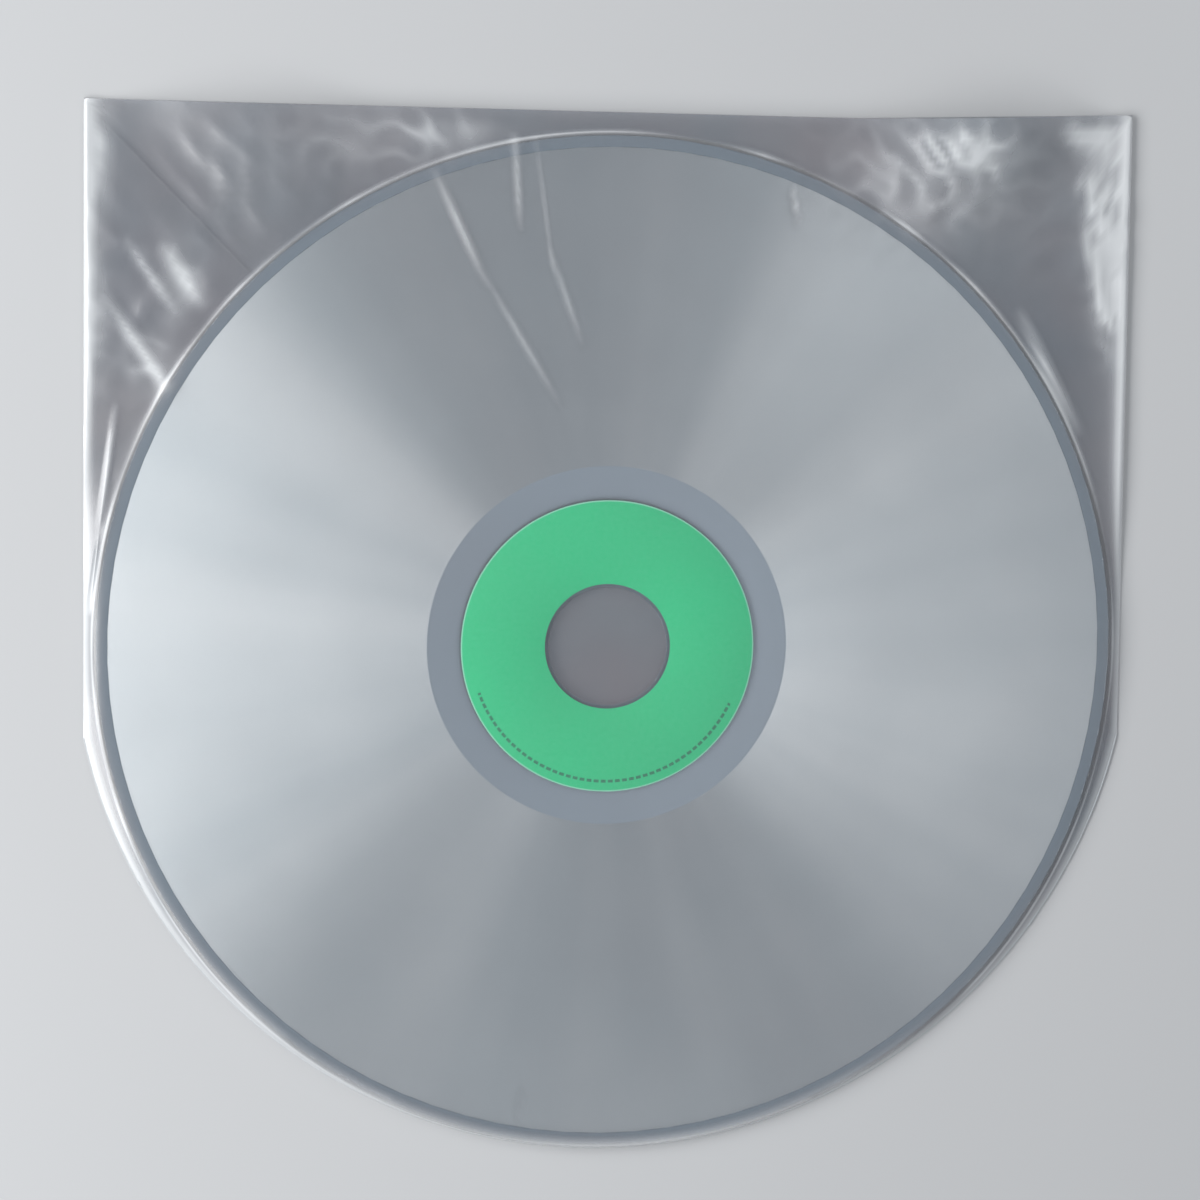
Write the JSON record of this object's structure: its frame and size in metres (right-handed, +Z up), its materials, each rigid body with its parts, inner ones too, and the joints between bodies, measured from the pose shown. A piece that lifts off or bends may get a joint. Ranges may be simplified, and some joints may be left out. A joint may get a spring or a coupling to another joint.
{
  "type": "record sleeve",
  "caption": "Clear film inner sleeve with a round bottom and an open straight mouth, lying flat with the optical video disc that it protects.",
  "frame": {"origin": "middle of the footprint on the surface that the sleeve lies on", "axes": "+Z up through the flat sleeve, +Y from the round bottom to the open mouth, +X to the right seen from above"},
  "size_m": [0.307, 0.3106, 0.0088],
  "materials": {
    "film": "thin hazy polyethylene film, see-through, with soft gloss and fine creases",
    "clear_acrylic": "clear moulded acrylic, polished",
    "silver_layer": "evaporated metal layer with fine circular tracks, bright",
    "adhesive": "set hot-melt bond, milky",
    "green_label": "plain green paper, matt"
  },
  "bodies": {
    "root": {"sleeve": "film", "disc_front_half": "clear_acrylic", "disc_rear_half": "clear_acrylic", "metal_film_front": "silver_layer", "metal_film_rear": "silver_layer", "bond_layer": "adhesive", "front_label": "green_label", "rear_label": "green_label"}
  },
  "joints": []
}
